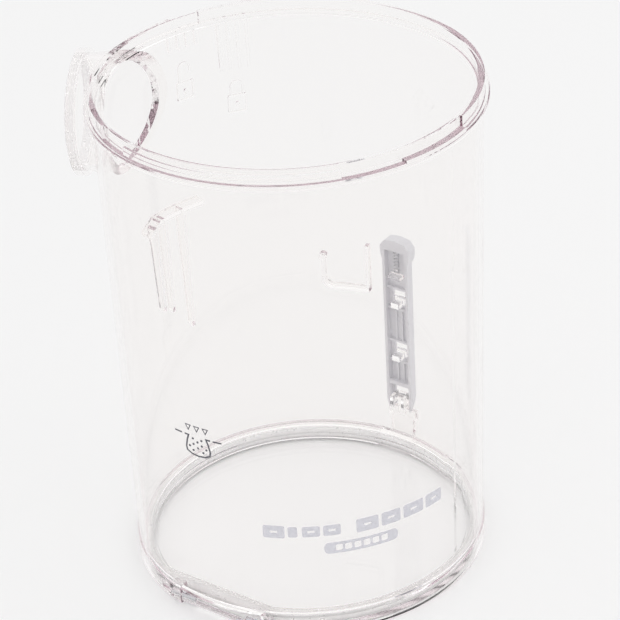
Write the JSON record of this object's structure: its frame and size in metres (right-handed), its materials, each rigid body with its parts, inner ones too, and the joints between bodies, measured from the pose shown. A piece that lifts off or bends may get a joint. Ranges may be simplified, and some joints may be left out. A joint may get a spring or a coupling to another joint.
{
  "type": "vacuum cleaner dust cup",
  "caption": "Clear round dust cup for a bagless vacuum cleaner, with a side inlet collar, a hinged bottom door, a latch and a sliding release rod.",
  "frame": {"origin": "centre of the underside of the bottom door, on the axis of the cup, in the plane that the cup stands on", "axes": "+Z along the axis of the cup, out of its mouth; -Y towards the door's hinge, +Y towards the release rod; the inlet port looks to the -X side"},
  "size_m": [0.1861, 0.1665, 0.2203],
  "materials": {
    "clear_plastic": "clear, polished",
    "grey_plastic": "satin",
    "soft_seal": "satin, translucent",
    "spring_steel": "satin"
  },
  "bodies": {
    "cup": {"cup_shell": "clear_plastic", "inlet_collar": "clear_plastic", "inlet_seal": "soft_seal", "hinge_pins": "spring_steel", "latch_pin": "spring_steel"},
    "rod": {"release_rod": "grey_plastic", "rod_spring": "spring_steel"},
    "latch": {"door_latch": "clear_plastic"},
    "door": {"bottom_door": "clear_plastic", "door_gasket": "soft_seal"}
  },
  "joints": [
    {"name": "rod_slide", "type": "slide", "parent": "cup", "child": "rod", "axis": [0, 0, -1], "range_m": [0, 0.0045], "stiffness_N_per_m": 400, "springref_m": -0.001, "deforming": ["rod_spring"]},
    {"name": "latch_pivot", "type": "hinge", "parent": "cup", "child": "latch", "pos_m": [-0.0029, 0.0818, 0.0243], "axis": [1, 0, 0], "range_deg": [0, 12]},
    {"name": "door_hinge", "type": "hinge", "parent": "cup", "child": "door", "pos_m": [0.0045, -0.0722, 0.003], "axis": [-1, 0, 0], "range_deg": [0, 105]}
  ],
  "couplings": [
    {"joint": "latch_pivot", "follows": "rod_slide", "rad_per_m": 46.154}
  ]
}
